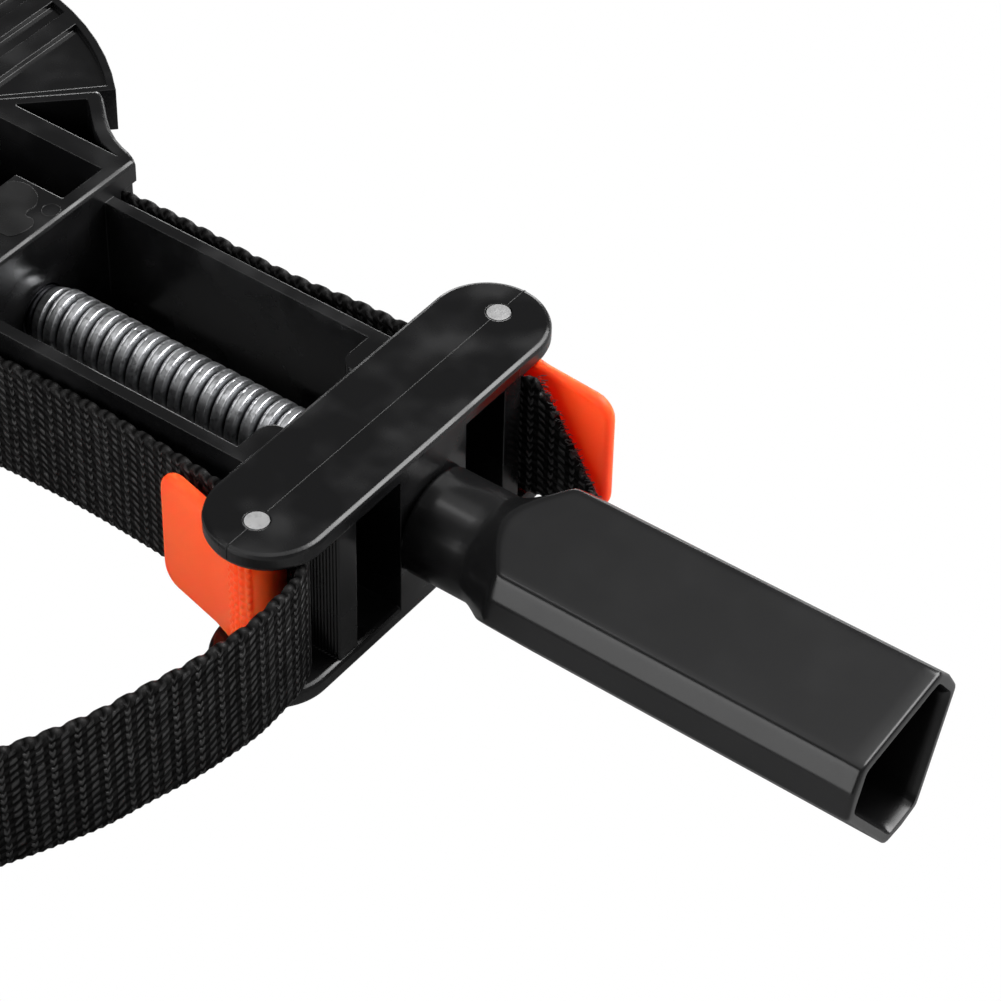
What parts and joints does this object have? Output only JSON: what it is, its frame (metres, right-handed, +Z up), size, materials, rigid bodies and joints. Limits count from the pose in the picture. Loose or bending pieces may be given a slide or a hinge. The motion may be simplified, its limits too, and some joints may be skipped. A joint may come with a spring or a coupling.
{
  "type": "band clamp",
  "caption": "Screw-tensioned webbing band clamp with cam levers, a sliding crossbar, a hollow three-cornered handle and swivelling fan jaws",
  "frame": {"origin": "the centre of the crossbar's flat foot, in the plane that the clamp lies on", "axes": "+X along the screw towards the handle's open end, +Y along the crossbar, +Z up from the foot"},
  "size_m": [0.291, 0.3744, 0.0335],
  "materials": {
    "body_plastic": "glossy black moulded plastic",
    "lever_plastic": "satin orange-red moulded plastic",
    "zinc_steel": "bright zinc-plated steel",
    "pin_steel": "bright ground steel",
    "webbing": "black woven polyester webbing"
  },
  "bodies": {
    "frame": {"main_frame": "body_plastic", "thrust_pad": "zinc_steel", "jaw_pin": "pin_steel", "strap_run_left": "webbing", "strap_run_right": "webbing", "strap_loop": "webbing"},
    "spindle": {"spindle": "zinc_steel", "handle": "body_plastic", "handle_washer": "zinc_steel", "handle_nut": "zinc_steel"},
    "crossbar": {"crossbar": "body_plastic", "spindle_nut": "zinc_steel", "lever_pin_left": "pin_steel", "lever_pin_right": "pin_steel", "strap_tail_left": "webbing", "strap_coil": "webbing", "strap_end_right": "webbing"},
    "lever_left": {"lever_left": "lever_plastic"},
    "lever_right": {"lever_right": "lever_plastic"},
    "jaw_left": {"jaw_left": "body_plastic"},
    "jaw_right": {"jaw_right": "body_plastic"}
  },
  "joints": [
    {"name": "spindle_spin", "type": "hinge", "parent": "frame", "child": "spindle", "pos_m": [0, 0, 0.01675], "axis": [1, 0, 0], "range_deg": [0, 5400]},
    {"name": "crossbar_slide", "type": "slide", "parent": "frame", "child": "crossbar", "axis": [1, 0, 0], "range_m": [-0.045, 0], "deforming": ["strap_run_left", "strap_run_right"]},
    {"name": "lever_left_swing", "type": "hinge", "parent": "crossbar", "child": "lever_left", "pos_m": [0, -0.0309, 0.01675], "axis": [0, 0, 1], "range_deg": [0, 100]},
    {"name": "lever_right_swing", "type": "hinge", "parent": "crossbar", "child": "lever_right", "pos_m": [0, 0.0309, 0.01675], "axis": [0, 0, 1], "range_deg": [0, 196.4]},
    {"name": "jaw_left_swivel", "type": "hinge", "parent": "frame", "child": "jaw_left", "pos_m": [-0.1317, 0, 0.01675], "axis": [0, 0, 1], "range_deg": [-45, 5], "deforming": ["strap_loop"]},
    {"name": "jaw_right_swivel", "type": "hinge", "parent": "frame", "child": "jaw_right", "pos_m": [-0.1317, 0, 0.01675], "axis": [0, 0, 1], "range_deg": [-5, 45], "deforming": ["strap_loop"]}
  ],
  "couplings": [
    {"joint": "spindle_spin", "follows": "crossbar_slide", "rad_per_m": -2094.4}
  ]
}
